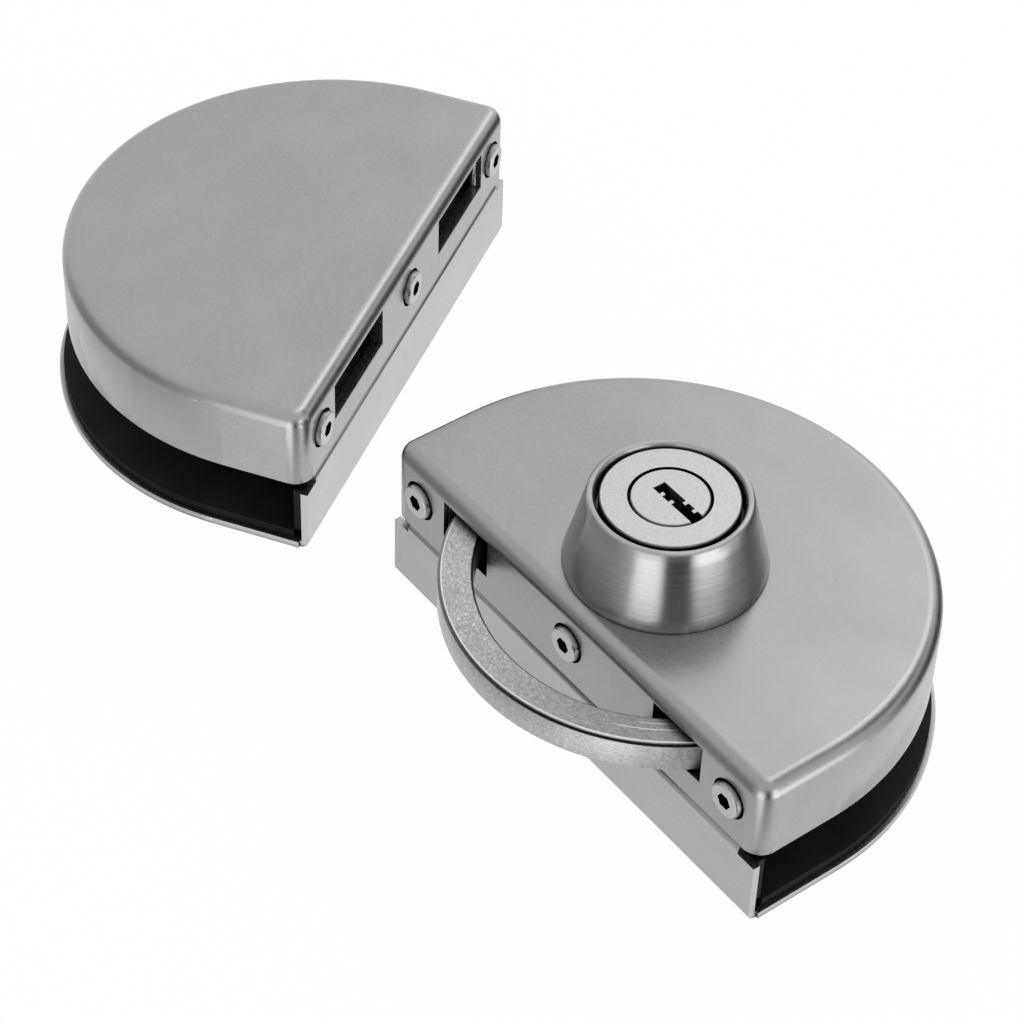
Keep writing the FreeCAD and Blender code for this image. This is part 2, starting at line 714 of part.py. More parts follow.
def make_housing():
    body = new_body("cylinder_housing")
    section = new_sketch(body, "XZ_Plane", "housing_section")
    bore = S["plug_radius"] + S["plug_gap"]
    wide_bore = S["plug_face"] + S["plug_head_gap"]
    shoulder = face_z - S["plug_head"]
    edge = S["head_edge"]
    outline(section, [
        (bore, barrel_low),
        (S["barrel_radius"], barrel_low),
        (S["barrel_radius"], ledge_z),
        (S["head_radius"], ledge_z),
        (S["head_radius"], face_z - edge),
        (S["head_radius"] - edge, face_z),
        (wide_bore, face_z),
        (wide_bore, shoulder),
        (bore, shoulder),
    ])
    revolve(body, section, "housing_turned")
    chambers = new_sketch(body, "YZ_Plane", "housing_chambers")
    for height in pin_heights():
        round_hole(chambers, ZERO, height, S["pin_radius"] + S["pin_gap"])
    pocket(body, chambers, "housing_chamber_holes")
    return body


def keyway_outline(sketch):
    """Keyway from its closed end to the plug's rim, with ribs on both sides."""
    low = S["keyway_shift"] - S["keyway_width"] / 2
    high = low + S["keyway_width"]
    corners = [(-S["keyway_back"], low)]
    for place_x, side in WARDS:
        if side < 0:
            start = size(place_x) - S["ward_width"] / 2
            end = start + S["ward_width"]
            deep = low + S["ward_depth"]
            corners += [(start, low), (start, deep), (end, deep), (end, low)]
    corners += [(S["plug_face"] + CUT_PAST, low), (S["plug_face"] + CUT_PAST, high)]
    for place_x, side in reversed(WARDS):
        if side > 0:
            end = size(place_x) - S["ward_width"] / 2
            start = end + S["ward_width"]
            deep = high - S["ward_depth"]
            corners += [(start, high), (start, deep), (end, deep), (end, high)]
    corners.append((-S["keyway_back"], high))
    outline(sketch, corners)


def make_plug():
    body = new_body("cylinder_plug")
    section = new_sketch(body, "XZ_Plane", "plug_section")
    shoulder = face_z - S["plug_head"]
    outline(section, [
        (ZERO, plug_end),
        (S["plug_radius"], plug_end),
        (S["plug_radius"], clip_low),
        (S["clip_groove"], clip_low),
        (S["clip_groove"], clip_top),
        (S["plug_radius"], clip_top),
        (S["plug_radius"], shoulder + S["plug_gap"]),
        (S["plug_face"], shoulder + S["plug_gap"]),
        (S["plug_face"], face_z - S["plug_edge"]),
        (S["plug_face"] - S["plug_edge"], face_z),
        (ZERO, face_z),
    ])
    revolve(body, section, "plug_turned")
    tail = new_sketch(body, "XY_Plane", "plug_tail_plan", arm_low)
    half = S["tail_side"] / 2
    rectangle(tail, -half, -half, half, half)
    pad(body, tail, "plug_tail", plug_end - arm_low)
    keyway = new_sketch(body, "XY_Plane", "plug_keyway", face_z)
    keyway_outline(keyway)
    pocket(body, keyway, "plug_keyway_cut", face_z - barrel_low - S["keyway_floor"])
    chambers = new_sketch(body, "YZ_Plane", "plug_chambers", -S["keyway_back"])
    for height in pin_heights():
        round_hole(chambers, ZERO, height, S["pin_radius"] + S["pin_gap"])
    pocket(body, chambers, "plug_chamber_holes")
    thread = new_sketch(body, "XY_Plane", "plug_tail_thread", arm_low)
    round_hole(thread, ZERO, ZERO, S["arm_screw_radius"] + S["thread_gap"])
    depth = S["tail_screw_length"] - S["washer_sheet"] + S["tail_hole_spare"]
    pocket(body, thread, "plug_tail_thread_hole", depth, backwards=True)
    return body


def make_pins():
    """Key pins in the plug, driver pins and springs in the housing, at the shear line."""
    key_pins, drivers, springs = [], [], []
    key_end = S["plug_radius"] - S["shear_gap"]
    driver_end = S["plug_radius"] + S["shear_gap"]
    spring_start = driver_end + S["driver_length"]
    for index, height in enumerate(pin_heights()):
        number = index + 1
        key_length = key_end - S["keyway_back"]
        key_pin = cylinder("key_pin_%d" % number, S["pin_radius"], key_length)
        key_pins.append(place(key_pin, -S["keyway_back"], 0, height, (0, 1, 0), -90))
        driver = cylinder("driver_pin_%d" % number, S["pin_radius"], S["driver_length"])
        drivers.append(place(driver, -driver_end, 0, height, (0, 1, 0), -90))
        length = S["barrel_radius"] - spring_start
        wire = cylinder("pin_spring_%d_outside" % number, S["pin_radius"], length)
        gap = cylinder("pin_spring_%d_inside" % number, S["pin_radius"] - S["spring_wall"], length)
        spring = cut("pin_spring_%d" % number, wire, gap)
        springs.append(place(spring, -spring_start, 0, height, (0, 1, 0), -90))
    return [group("key_pins", key_pins), group("driver_pins", drivers), group("pin_springs", springs)]


def make_nut():
    blank = prism("cylinder_nut_blank", S["nut_corner"], S["nut_height"], nut_low)
    bore = cylinder("cylinder_nut_bore", S["barrel_radius"] + S["thread_gap"], S["nut_height"],
                    0, 0, nut_low)
    nut = cut("cylinder_nut", blank, bore)
    nut.Label = "cylinder_nut"
    return nut


def make_clip():
    disc = cylinder("plug_clip_disc", S["clip_outer"], S["clip_sheet"], 0, 0, clip_low)
    groove = cylinder("plug_clip_bore", S["clip_groove"], S["clip_sheet"], 0, 0, clip_low)
    mouth = doc.addObject("Part::Box", "plug_clip_mouth")
    bind(mouth, "Length", S["clip_opening"])
    bind(mouth, "Width", S["clip_outer"])
    bind(mouth, "Height", S["clip_sheet"])
    place(mouth, -S["clip_opening"] / 2, 0, clip_low)
    clip = cut("plug_clip", disc, fuse("plug_clip_tools", [groove, mouth]))
    clip.Label = "plug_clip"
    return clip


# The arc bolt and its drive.

stop_y = -(S["arm_width"] / 2 + S["stop_gap"] + S["stop_radius"])


def make_arc_bolt():
    """Half ring round the cylinder axis, from its free end to the tongue under the arm."""
    body = new_body("arc_bolt")
    section = new_sketch(body, "XZ_Plane", "bolt_section")
    low, high = bolt_low, bolt_top
    near, far, edge, step = bolt_inner, bolt_outer, S["bolt_chamfer"], S["bolt_rebate"]
    outline(section, [
        (near + edge, low), (far - edge, low), (far, low + edge), (far, high - step),
        (far - step, high - step), (far - step, high),
        (near + edge, high), (near, high - edge), (near, low + edge),
    ])
    revolve(body, section, "bolt_ring", S["bolt_angle"], backwards=True)
    heel = new_sketch(body, "XZ_Plane", "bolt_heel_section")
    outline(heel, [
        (near, low + edge), (near + edge, low), (far - edge, low), (far, low + edge),
        (far, arm_low), (near, arm_low),
    ])
    revolve(body, heel, "bolt_heel", S["heel_angle"])
    seat = new_sketch(body, "XY_Plane", "bolt_seat", arm_low)
    side = S["arm_width"] / 2 + S["stop_gap"]
    rectangle(seat, near - CUT_PAST, -side, far + CUT_PAST, side)
    pocket(body, seat, "bolt_seat_cut", bolt_top - arm_low + CUT_PAST, backwards=True)
    threads = new_sketch(body, "XY_Plane", "bolt_threads")
    for turn in (-1, 1):
        round_hole(threads, bolt_centre, S["arm_screw_side"] * turn, S["arm_screw_radius"] + S["thread_gap"])
    pocket(body, threads, "bolt_thread_holes", both_ways=True)
    return body


def make_drive_arm():
    body = new_body("drive_arm")
    hub = new_sketch(body, "XY_Plane", "arm_hub_plan", arm_low)
    round_hole(hub, ZERO, ZERO, S["arm_hub"])
    pad(body, hub, "arm_hub", S["arm_sheet"])
    bar = new_sketch(body, "XY_Plane", "arm_bar_plan", arm_low)
    reach = bolt_outer - S["arm_end_gap"]
    half = S["arm_width"] / 2
    end_x = root(reach * reach - half * half)
    outline(bar, [(ZERO, -half), (end_x, -half, reach, "left"), (end_x, half), (ZERO, half)])
    pad(body, bar, "arm_bar", S["arm_sheet"])
    holes = new_sketch(body, "XY_Plane", "arm_holes")
    side = S["tail_side"] / 2 + S["tail_gap"]
    rectangle(holes, -side, -side, side, side)
    for turn in (-1, 1):
        round_hole(holes, bolt_centre, S["arm_screw_side"] * turn, S["arm_screw_radius"] + S["thread_gap"])
    pocket(body, holes, "arm_hole_cuts", both_ways=True)
    return body


def make_arm_screws():
    screws = []
    for index, turn in enumerate((-1, 1)):
        screw = cap_screw("arm_screw_%d" % (index + 1), S["arm_screw_length"])
        screws.append(place(screw, bolt_centre, S["arm_screw_side"] * turn, arm_top))
    return group("arm_screws", screws)


def make_tail_screw():
    screw = cap_screw("tail_screw", S["tail_screw_length"])
    screw.Label = "tail_screw"
    return place(screw, 0, 0, arm_low - S["washer_sheet"], (1, 0, 0), 180)


def make_tail_washer():
    low = arm_low - S["washer_sheet"]
    disc = cylinder("tail_washer_disc", S["washer_radius"], S["washer_sheet"], 0, 0, low)
    hole = cylinder("tail_washer_hole", S["arm_screw_radius"] + S["thread_gap"], S["washer_sheet"],
                    0, 0, low)
    washer = cut("tail_washer", disc, hole)
    washer.Label = "tail_washer"
    return washer


def make_track():
    """Moulded track under and round the bolt, with pegs into the chassis."""
    body = new_body("bolt_track")
    section = new_sketch(body, "XZ_Plane", "track_section")
    near = bolt_inner - S["track_inside"]
    rim = bolt_outer + S["track_gap"]
    far = rim + S["track_wall"]
    outline(section, [
        (near, chassis_top), (far, chassis_top), (far, track_top + S["track_rim"]),
        (rim, track_top + S["track_rim"]), (rim, track_top), (near, track_top),
    ])
    half_angle = S["track_angle"] / 2
    for name, turned in (("track_left", True), ("track_right", False)):
        revolve(body, section, name, half_angle, backwards=turned)
    pegs = new_sketch(body, "XY_Plane", "track_pegs_plan", chassis_low)
    for x, y in peg_places():
        # The track is made about +X and turned to the back, so its pegs are too.
        round_hole(pegs, y, -x, S["peg_radius"])
    pad(body, pegs, "track_pegs", S["chassis_sheet"])
    return place(body, 0, 0, 0, (0, 0, 1), 90)


def make_stops():
    pins = []
    length = S["chassis_sheet"] + S["stop_height"]
    for index, side in enumerate((-1, 1)):
        pins.append(cylinder("arm_stop_%d" % (index + 1), S["stop_radius"], length,
                             S["stop_place"] * side, stop_y, chassis_low))
    return group("arm_stops", pins)


BOTH = [
    make_cover, make_back_plate, make_chassis, make_back_pad, make_edge_pad,
    make_clamp_plate, make_clamp_pad, make_set_screws, make_cover_screws,
]

nodes = [make("lock") for make in BOTH]
nodes += [make_collar(), make_housing(), make_plug()] + make_pins() + [make_nut(), make_clip()]
nodes += [make_arc_bolt(), make_drive_arm(), make_arm_screws(), make_tail_screw(), make_tail_washer()]
nodes += [make_track(), make_stops()]
nodes += [put_in_strike(make("strike")) for make in BOTH]
doc.recompute()

for item in doc.Objects:
    if "Invalid" in item.State or "Error" in item.State:
        raise RuntimeError("%s failed: %s" % (item.Label, item.State))
for node in nodes:
    if node.Shape.isNull() or not node.Shape.isValid():
        raise RuntimeError("%s has no valid shape" % node.Label)
for node in nodes:
    node.Shape.exportStep(os.path.join("parts", node.Label + ".step"))
    box = node.Shape.BoundBox
    print("%-20s solids %d  volume %9.1f  x %.2f %.2f  y %.2f %.2f  z %.2f %.2f" % (
        node.Label, len(node.Shape.Solids), node.Shape.Volume,
        box.XMin, box.XMax, box.YMin, box.YMax, box.ZMin, box.ZMax))
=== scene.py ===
"""Looks of a glass door lock: two half-moon cases in satin steel, with a key cylinder and an arc bolt."""

import bpy
import math
from mathutils import Matrix, Vector


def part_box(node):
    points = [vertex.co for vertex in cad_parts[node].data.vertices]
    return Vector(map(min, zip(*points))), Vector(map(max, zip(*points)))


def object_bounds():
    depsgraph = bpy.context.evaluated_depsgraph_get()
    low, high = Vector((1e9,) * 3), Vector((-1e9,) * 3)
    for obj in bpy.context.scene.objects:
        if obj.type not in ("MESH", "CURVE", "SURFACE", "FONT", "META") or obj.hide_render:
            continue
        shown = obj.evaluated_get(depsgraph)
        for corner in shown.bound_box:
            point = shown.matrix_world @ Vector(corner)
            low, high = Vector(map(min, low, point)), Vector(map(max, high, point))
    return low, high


# Lengths are in metres.
MM = 0.001

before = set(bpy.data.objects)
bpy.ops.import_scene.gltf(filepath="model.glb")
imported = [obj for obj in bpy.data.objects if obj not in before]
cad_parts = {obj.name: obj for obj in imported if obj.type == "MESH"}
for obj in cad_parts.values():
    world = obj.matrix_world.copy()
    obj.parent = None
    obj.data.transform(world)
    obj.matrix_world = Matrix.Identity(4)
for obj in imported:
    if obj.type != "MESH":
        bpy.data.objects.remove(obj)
cad_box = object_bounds()


# Camera, fitted to the lock's corners, screws and slots in the photo. It stands at an azimuth
# that is counted from -Y towards +X.

CAMERA_AZIMUTH = math.radians(51.59)
CAMERA_ELEVATION = math.radians(43.94)
CAMERA_ROLL = math.radians(2.08)
CAMERA_DISTANCE = 0.650
CAMERA_TARGET = Vector((-55.15, 6.86, 0.0)) * MM
CAMERA_NEAREST = 0.01
FOCAL_PX = 3173.5
PHOTO_PX = 1024
SENSOR_MM = 36.0


def make_camera():
    back = Vector((
        math.sin(CAMERA_AZIMUTH) * math.cos(CAMERA_ELEVATION),
        -math.cos(CAMERA_AZIMUTH) * math.cos(CAMERA_ELEVATION),
        math.sin(CAMERA_ELEVATION),
    ))
    right = Vector((math.cos(CAMERA_AZIMUTH), math.sin(CAMERA_AZIMUTH), 0.0))
    up = back.cross(right)
    rolled_right = right * math.cos(CAMERA_ROLL) + up * math.sin(CAMERA_ROLL)
    rolled_up = back.cross(rolled_right)
    data = bpy.data.cameras.new("camera")
    data.sensor_width = SENSOR_MM
    data.lens = FOCAL_PX / PHOTO_PX * SENSOR_MM
    data.clip_start = CAMERA_NEAREST
    camera = bpy.data.objects.new("camera", data)
    turn = Matrix((rolled_right, rolled_up, back)).transposed().to_4x4()
    camera.matrix_world = Matrix.Translation(CAMERA_TARGET + back * CAMERA_DISTANCE) @ turn
    bpy.context.scene.collection.objects.link(camera)
    bpy.context.scene.camera = camera


# Node trees: materials and the world are built from a few calls.

# A noise's values gather round a half. The narrower the range of them that is spread, the
# stronger the contrast.
NOISE_WIDE = (0.30, 0.70)
NOISE_MIDDLE = (0.36, 0.64)
NOISE_NARROW = (0.38, 0.62)
WHITE = 1.0


class Nodes:
    """A node tree under construction."""

    def __init__(self, tree):
        self.tree = tree

    def add(self, kind, **settings):
        node = self.tree.nodes.new(kind)
        for name, value in settings.items():
            setattr(node, name, value)
        return node

    def link(self, source, target):
        self.tree.links.new(source, target)

    def feed(self, value, socket):
        """A number is set on the socket, and another node's output is linked to it."""
        if isinstance(value, float):
            socket.default_value = value
        else:
            self.link(value, socket)

    def maths(self, operation, first, second=0.0):
        node = self.add("ShaderNodeMath", operation=operation)
        self.feed(first, node.inputs[0])
        self.feed(second, node.inputs[1])
        return node.outputs[0]

    def times(self, first, *others):
        """The product of outputs and numbers."""
        product = first
        for other in others:
            product = self.maths("MULTIPLY", product, other)
        return product

    def spread(self, value, to, over=NOISE_WIDE, smooth=False):
        """The value, stretched from the range over to the range to, and held at the ends."""
        node = self.add("ShaderNodeMapRange")
        node.interpolation_type = "SMOOTHSTEP" if smooth else "LINEAR"
        node.inputs["From Min"].default_value, node.inputs["From Max"].default_value = over
        node.inputs["To Min"].default_value, node.inputs["To Max"].default_value = to
        self.link(value, node.inputs["Value"])
        return node.outputs["Result"]

    def above(self, value, low, high):
        """Nought below the low value, one above the high one."""
        return self.spread(value, to=(0.0, 1.0), over=(low, high))

    def below(self, value, low, high):
        """One below the low value, nought above the high one."""
        return self.spread(value, to=(1.0, 0.0), over=(low, high))

    def toward(self, tone, share, target):
        """The tone, moved to the target by a share from nought to one."""
        node = self.add("ShaderNodeMix", data_type="FLOAT")
        self.link(share, node.inputs["Factor"])
        self.feed(tone, node.inputs["A"])
        node.inputs["B"].default_value = target
        return node.outputs["Result"]

    def seen_bare(self):
        """One for a ray from the camera or through something clear, and nought for any other."""
        path = self.add("ShaderNodeLightPath")
        return self.maths("MAXIMUM", path.outputs["Is Camera Ray"], path.outputs["Is Transmission Ray"])

    def grey(self, value):
        node = self.add("ShaderNodeCombineColor")
        for channel in ("Red", "Green", "Blue"):
            self.link(value, node.inputs[channel])
        return node.outputs["Color"]


class Shader(Nodes):
    """A material with its principled surface."""

    def __init__(self, name):
        self.material = bpy.data.materials.new(name)
        self.material.use_nodes = True
        super().__init__(self.material.node_tree)
        self.surface = self.tree.nodes["Principled BSDF"]

    def set(self, **values):
        for name, value in values.items():
            self.surface.inputs[name.replace("_", " ")].default_value = value
        return self

    def place(self, per_metre, turn=0.0):
        """Object coordinates, turned about Z, with so many noise cells to the metre along each axis."""
        coordinate = self.add("ShaderNodeTexCoord")
        mapping = self.add("ShaderNodeMapping", vector_type="TEXTURE")
        mapping.inputs["Rotation"].default_value = (0.0, 0.0, turn)
        mapping.inputs["Scale"].default_value = [1.0 / value for value in per_metre]
        self.link(coordinate.outputs["Object"], mapping.inputs["Vector"])
        return mapping.outputs["Vector"]

    def noise(self, vector, detail, roughness):
        node = self.add("ShaderNodeTexNoise")
        node.inputs["Scale"].default_value = 1.0
        node.inputs["Detail"].default_value = detail
        node.inputs["Roughness"].default_value = roughness
        self.link(vector, node.inputs["Vector"])
        return node.outputs["Fac"]

    def grains(self, per_metre, detail, roughness):
        """Noise that is equally fine along every axis."""
        return self.noise(self.place((per_metre, per_metre, per_metre)), detail, roughness)

    def polar(self):
        """Distance from the cylinder's axis, angle round it in radians from +X, and height."""
        coordinate = self.add("ShaderNodeTexCoord")
        split = self.add("ShaderNodeSeparateXYZ")
        self.link(coordinate.outputs["Object"], split.inputs[0])
        x, y, height = split.outputs
        squares = self.maths("ADD", self.times(x, x), self.times(y, y))
        return self.maths("SQRT", squares), self.maths("ARCTAN2", y, x), height

    def polar_place(self, per_metre, per_radian):
        """Coordinates that follow the rings round the cylinder's axis."""
        radius, angle, height = self.polar()
        node = self.add("ShaderNodeCombineXYZ")
        self.link(self.times(radius, per_metre), node.inputs[0])
        self.link(self.times(angle, per_radian), node.inputs[1])
        self.link(self.times(height, per_metre), node.inputs[2])
        return node.outputs[0]

    def painted_crevice_shade(self, tone, reach, least, shut=0.25, free=0.85):
        """Painted shade: darker in hollows and where pieces meet, which also gives the seams their dark
        lines.
        What is open by less than the share shut has the least part of its tone, and what is open by more
        than free has it all."""
        node = self.add("ShaderNodeAmbientOcclusion", samples=8)
        node.inputs["Distance"].default_value = reach
        return self.times(tone, self.spread(node.outputs["AO"], to=(least, 1.0), over=(shut, free)))

    def colour(self, tone):
        self.link(self.grey(tone), self.surface.inputs["Base Color"])

    def roughness(self, value):
        self.link(value, self.surface.inputs["Roughness"])

    def bump(self, height, strength, distance):
        node = self.add("ShaderNodeBump")
        node.inputs["Strength"].default_value = strength
        node.inputs["Distance"].default_value = distance
        self.link(height, node.inputs["Height"])
        self.link(node.outputs["Normal"], self.surface.inputs["Normal"])


# Materials. Tones are levels of grey in linear light. The strike lies turned about Z, and the
# marks on sheet steel run aslant to its streaks.

STRIKE_TURN = math.radians(122.4)
MARKS_TURN = math.radians(25.0)


def satin_sheet(name, turn, tone, reach, free):
    """Satin stainless sheet: fine short streaks along its flat side, faint marks and cloudy patches, with
    painted shade at its seams.
    """
    shader = Shader(name).set(Metallic=1.0)
    streaks = shader.noise(shader.place((600.0, 5000.0, 5000.0), turn), detail=4.0, roughness=0.65)
    marks_place = shader.place((900.0, 1500.0, 1500.0), turn + MARKS_TURN)
    marks = shader.noise(marks_place, detail=3.0, roughness=0.7)
    clouds = shader.noise(shader.place((45.0, 70.0, 70.0), turn), detail=3.0, roughness=0.55)
    shade = shader.times(
        shader.spread(clouds, to=(0.955 * tone, 1.045 * tone)),
        shader.spread(streaks, to=(0.975, 1.025), over=NOISE_NARROW),
        shader.spread(marks, to=(0.985, 1.015), over=NOISE_NARROW),
    )
    shader.colour(shader.painted_crevice_shade(shade, reach, least=0.03, shut=0.3, free=free))
    shader.roughness(shader.spread(marks, to=(0.25, 0.33)))
    shader.bump(shader.maths("ADD", streaks, marks), strength=0.09, distance=0.03 * MM)
    return shader.material


def cover_sheet(name, turn, tone):
    """The covers' sheet, with painted shade reaching widely from its seams."""
    return satin_sheet(name, turn, tone, reach=5.0 * MM, free=0.64)


def plate_sheet(name, turn, tone):
    """The back plates' sheet, with painted shade close to its seams."""
    return satin_sheet(name, turn, tone, reach=2.0 * MM, free=0.85)


def turned_steel():
    """Turned collar: fine rings round it, so that highlights stretch down its side, with painted shade at
    its foot.
    """
    shader = Shader("turned_steel").set(Metallic=1.0, Anisotropic=0.9, Anisotropic_Rotation=0.25)
    rings = shader.noise(shader.place((90.0, 90.0, 4200.0)), detail=3.0, roughness=0.7)
    shader.colour(shader.painted_crevice_shade(shader.spread(rings, to=(0.30, 0.385)), reach=1.0 * MM, least=0.0))
    shader.roughness(shader.spread(rings, to=(0.20, 0.26)))
    shader.bump(rings, strength=0.12, distance=0.015 * MM)
    tangent = shader.add("ShaderNodeTangent", direction_type="RADIAL", axis="Z")
    shader.link(tangent.outputs["Tangent"], shader.surface.inputs["Tangent"])
    return shader.material


def nickel_face():
    """Dull nickel plate with sparse fine specks, and painted shade in the keyway and round the plug."""
    shader = Shader("nickel_face").set(Metallic=1.0)
    grain = shader.grains(5000.0, detail=2.0, roughness=0.5)
    specks = shader.grains(2600.0, detail=2.0, roughness=0.6)
    shade = shader.times(
        shader.spread(grain, to=(0.43, 0.55)),
        shader.spread(specks, to=(0.66, 1.0), over=(0.32, 0.39)),
    )
    shader.colour(shader.painted_crevice_shade(shade, reach=3.0 * MM, least=0.0, shut=0.45, free=0.9))
    shader.roughness(shader.spread(grain, to=(0.42, 0.52)))
    shader.bump(grain, strength=0.15, distance=0.02 * MM)
    return shader.material


# The bolt's top has a rebate along its outer edge and a chamfer along its inner one. Angles run
# round the axis in degrees from +X. At rest the bolt stands out of the case from -35, on its
# heel's side, to -145, on its free end's side.
BOLT_WIDTH = 6.7 * MM
BOLT_CHAMFER = 0.5 * MM
REBATE = 0.5 * MM
# Tones on the bolt's top: rubbed marks and a painted highlight along the rebate's edge, and painted shade
# in the rebate and on the inner chamfer.
EDGE_HIGHLIGHT_WIDTH = 0.28 * MM
MARK_BLUR = 0.05 * MM
ARC_END_BLUR = math.radians(3.0)
RUBBED_AND_HIGHLIGHT_TONE = 0.62
GROOVE_SHADE_TONE = 0.012
INNER_RIM_SHADE_TONE = 0.075
# Distances in from a face, where what marks the face starts and where it is whole.
LIT_FACE_BLEND = (0.30 * MM, 0.10 * MM)
TOP_BLEND = (0.20 * MM, 0.08 * MM)
GROOVE_BLEND = (0.35 * MM, 0.15 * MM)
RIM_BLEND = (2.0 * BOLT_CHAMFER, BOLT_CHAMFER)
# Rubbed arcs on the heel's side: distance in from the outer face, width, start and end.
RUBBED_ARCS = (
    (3.4 * MM, 0.16 * MM, -50.0, -30.0),
    (4.9 * MM, 0.14 * MM, -44.0, -33.0),
)


class BoltShader(Shader):
    """A material with masks by radius, angle and height on the arc bolt."""

    def __init__(self, name):
        super().__init__(name)
        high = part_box("arc_bolt")[1]
        self.outer = high.x
        self.top = high.z
        self.radius, self.angle, self.height = self.polar()

    def round_axis(self, start, end, to):
        """From one value to another between two angles in degrees."""
        return self.spread(self.angle, to, over=(math.radians(start), math.radians(end)))

    def near_level(self, level, blend):
        """Nought well below a level, one near it and above it."""
        return self.above(self.height, level - blend[0], level - blend[1])

    def line(self, inward, width):
        """One on a line round the axis, nought beside it."""
        edge = self.outer - inward
        rising = self.above(self.radius, edge - width - MARK_BLUR, edge - width)
        return self.times(rising, self.below(self.radius, edge, edge + MARK_BLUR))

    def short_line(self, inward, width, start, end):
        """A line between two angles in degrees."""
        first = math.radians(start)
        last = math.radians(end)
        rising = self.above(self.angle, first - ARC_END_BLUR, first)
        falling = self.below(self.angle, last, last + ARC_END_BLUR)
        return self.times(self.line(inward, width), rising, falling)

    def flecks(self):
        """Rubbed flecks, most on the free end's side."""
        spots = self.noise(self.polar_place(per_metre=1800.0, per_radian=60.0), detail=3.0, roughness=0.7)
        fading = self.round_axis(-105.0, -65.0, to=(1.0, 0.3))
        return self.times(self.spread(spots, to=(0.0, 0.8), over=(0.55, 0.66)), fading)

    def groove_shade(self):
        """Painted shade on the rebate's floor, less dark towards the free end's side."""
        edge = self.outer - REBATE
        outside = self.above(self.radius, edge, edge + MARK_BLUR)
        on_floor = self.near_level(self.top - REBATE, GROOVE_BLEND)
        return self.times(outside, on_floor, self.round_axis(-140.0, -75.0, to=(0.5, 1.0)))

    def inner_rim_shade(self):
        """Painted shade on the chamfer along the inner edge."""
        inner = self.outer - BOLT_WIDTH
        inside = self.below(self.radius, inner + 0.6 * BOLT_CHAMFER, inner + BOLT_CHAMFER)
        return self.times(inside, self.near_level(self.top, RIM_BLEND))


def cast_steel():
    """Cast and blasted bolt: grain drawn out round its axis, darker towards its heel, with its outer
    face painted lighter, rubbed marks and a painted highlight on its top, and painted shade along both its
    edges."""
    shader = BoltShader("cast_steel").set(Metallic=1.0)
    coarse = shader.noise(shader.polar_place(per_metre=2400.0, per_radian=45.0), detail=4.0, roughness=0.75)
    fine = shader.grains(6000.0, detail=2.0, roughness=0.6)
    # Painted light: the outer face is made lighter than the top.
    face = [shader.outer - inward for inward in LIT_FACE_BLEND]
    shade = shader.times(
        shader.spread(coarse, to=(0.27, 0.46), over=NOISE_MIDDLE),
        shader.spread(fine, to=(0.80, 1.18), over=NOISE_MIDDLE),
        shader.round_axis(-130.0, -35.0, to=(1.0, 0.69)),
        shader.spread(shader.radius, to=(1.0, 1.45), over=face),
    )
    # The flecks and arcs are rubbed marks; the line just inside the rebate is a painted highlight on the
    # top's edge.
    rubbed_and_highlight = [shader.flecks(), shader.line(REBATE, EDGE_HIGHLIGHT_WIDTH)]
    rubbed_and_highlight += [shader.short_line(*arc) for arc in RUBBED_ARCS]
    on_top = shader.near_level(shader.top, TOP_BLEND)
    for mark in rubbed_and_highlight:
        shade = shader.toward(shade, shader.times(mark, on_top), RUBBED_AND_HIGHLIGHT_TONE)
    # Painted shade in the rebate.
    shade = shader.toward(shade, shader.groove_shade(), GROOVE_SHADE_TONE)
    # Painted shade on the inner chamfer.
    shade = shader.toward(shade, shader.inner_rim_shade(), INNER_RIM_SHADE_TONE)
    shader.colour(shader.painted_crevice_shade(shade, reach=4.0 * MM, least=0.02, shut=0.30, free=0.60))
    shader.roughness(shader.spread(coarse, to=(0.36, 0.52)))
    shader.bump(coarse, strength=0.5, distance=0.06 * MM)
    return shader.material


def bright_steel():
    """Screws: bright stainless with light tool marks, and painted shade round their heads."""
    shader = Shader("bright_steel").set(Metallic=1.0)
    grain = shader.grains(4000.0, detail=3.0, roughness=0.6)
    shade = shader.spread(grain, to=(0.41, 0.52))
    shader.colour(shader.painted_crevice_shade(shade, reach=2.5 * MM, least=0.0, shut=0.6, free=0.97))
    shader.roughness(shader.spread(grain, to=(0.24, 0.36)))
    shader.bump(grain, strength=0.3, distance=0.03 * MM)
    return shader.material


def zinc_plate():
    """Inner steel: dull zinc, clouded, with painted shade deep inside the case."""
    shader = Shader("zinc_plate").set(Metallic=1.0)
    clouds = shader.grains(250.0, detail=4.0, roughness=0.6)
    shade = shader.spread(clouds, to=(0.22, 0.285))
    shader.colour(shader.painted_crevice_shade(shade, reach=8.0 * MM, least=0.02, shut=0.35, free=0.95))
    shader.roughness(shader.spread(clouds, to=(0.38, 0.55)))
    shader.bump(clouds, strength=0.2, distance=0.04 * MM)
    return shader.material


def brass():
    """Pins: drawn brass between two close tones."""
    shader = Shader("brass").set(Metallic=1.0)
    grain = shader.grains(3000.0, detail=2.0, roughness=0.5)
    mix = shader.add("ShaderNodeMix", data_type="RGBA")
    mix.inputs["A"].default_value = (0.50, 0.36, 0.14, 1.0)
    mix.inputs["B"].default_value = (0.66, 0.50, 0.22, 1.0)
    shader.link(grain, mix.inputs["Factor"])
    shader.link(mix.outputs["Result"], shader.surface.inputs["Base Color"])
    shader.roughness(shader.spread(grain, to=(0.25, 0.35)))
    return shader.material


